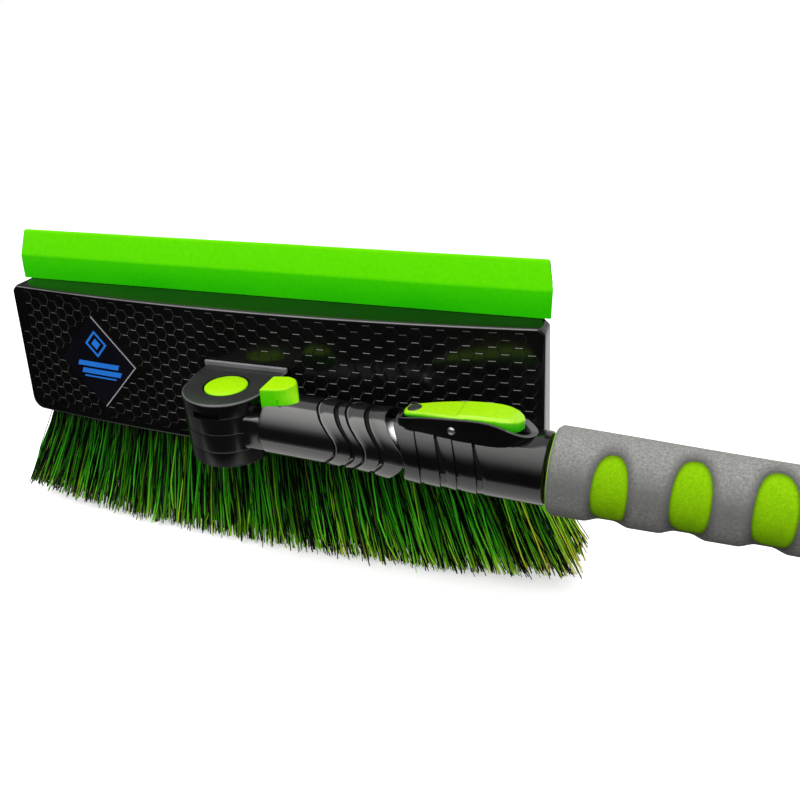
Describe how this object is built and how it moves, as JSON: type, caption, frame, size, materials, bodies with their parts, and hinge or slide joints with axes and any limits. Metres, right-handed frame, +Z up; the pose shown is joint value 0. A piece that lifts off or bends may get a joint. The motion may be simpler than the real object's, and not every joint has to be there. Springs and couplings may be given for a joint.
{
  "type": "telescoping snow brush and ice scraper",
  "caption": "Telescoping snow broom with a pivoting brush and foam pusher head, lock lever, foam grips and an ice scraper at the far end.",
  "frame": {"origin": "middle of the object's box, at the height of the bristle tips, with the head folded and the pole pushed in", "axes": "+X along the handle from the pivot towards the scraper, +Z up along the pivot axis with the bristles pointing down, +Y towards the back of the folded head"},
  "size_m": [1.0138, 0.128, 0.1747],
  "materials": {
    "cover_black": "glossy moulded black plastic with hexagon relief",
    "body_black": "satin black moulded plastic",
    "badge": "gloss plate with a printed border",
    "foam_green": "soft closed-cell foam, matt",
    "lime_plastic": "glossy lime plastic",
    "bristle_green": "filament, green",
    "bristle_black": "filament, black",
    "steel": "zinc-plated steel",
    "bright_steel": "polished steel",
    "aluminium": "drawn, bright",
    "tube_black": "black powder coat",
    "foam_grey": "fine open-pored grip foam, matt",
    "foam_lime": "fine grip foam, matt",
    "blade_lime": "hard clear-edged plastic"
  },
  "bodies": {
    "handle": {"clamp_collar": "body_black", "lever_cradle": "cover_black", "lever_rivet": "bright_steel", "collar_bush": "body_black", "collar_screw": "steel", "lever_spring": "bright_steel", "outer_tube": "tube_black", "front_grip_core": "foam_lime", "front_grip_skin": "foam_grey", "rear_grip_core": "foam_lime", "rear_grip_skin": "foam_grey", "scraper_head": "body_black", "scraper_blade": "blade_lime", "scraper_screws": "steel", "scraper_pin": "steel"},
    "lever": {"lock_lever": "lime_plastic", "lock_pin": "bright_steel"},
    "neck": {"neck_upper_shell": "body_black", "neck_lower_shell": "body_black", "neck_screws": "steel", "pivot_bush": "bright_steel", "inner_pole": "aluminium", "pole_rivet": "steel", "pole_end_bush": "body_black", "button_spring": "bright_steel"},
    "button": {"release_button": "lime_plastic"},
    "head": {"head_cover": "cover_black", "badge": "badge", "rear_housing": "body_black", "brush_block": "body_black", "block_screws": "steel", "bristle_row_1": "bristle_green", "bristle_row_2": "bristle_black", "bristle_row_3": "bristle_green", "bristle_row_4": "bristle_black", "foam_blade": "foam_green", "cover_screws": "steel", "pivot_bracket": "body_black", "bracket_screws": "steel", "pivot_bolt": "steel", "pivot_nut": "steel", "pivot_cap": "lime_plastic"}
  },
  "joints": [
    {"name": "telescope", "type": "slide", "parent": "handle", "child": "neck", "axis": [-1, 0, 0], "range_m": [0, 0.33]},
    {"name": "head_pivot", "type": "hinge", "parent": "neck", "child": "head", "pos_m": [-0.33307, -0.01398, 0.1015], "axis": [0, 0, 1], "range_deg": [0, 173.12]},
    {"name": "release_press", "type": "slide", "parent": "neck", "child": "button", "axis": [0, 0, -1], "range_m": [0, 0.004], "stiffness_N_per_m": 900, "springref_m": -0.003, "deforming": ["button_spring"]},
    {"name": "lever_press", "type": "hinge", "parent": "handle", "child": "lever", "pos_m": [-0.21157, -0.01398, 0.1187], "axis": [0, 1, 0], "range_deg": [0, 6], "stiffness_Nm_per_rad": 1.6, "springref_deg": -4.58, "deforming": ["lever_spring"]}
  ]
}
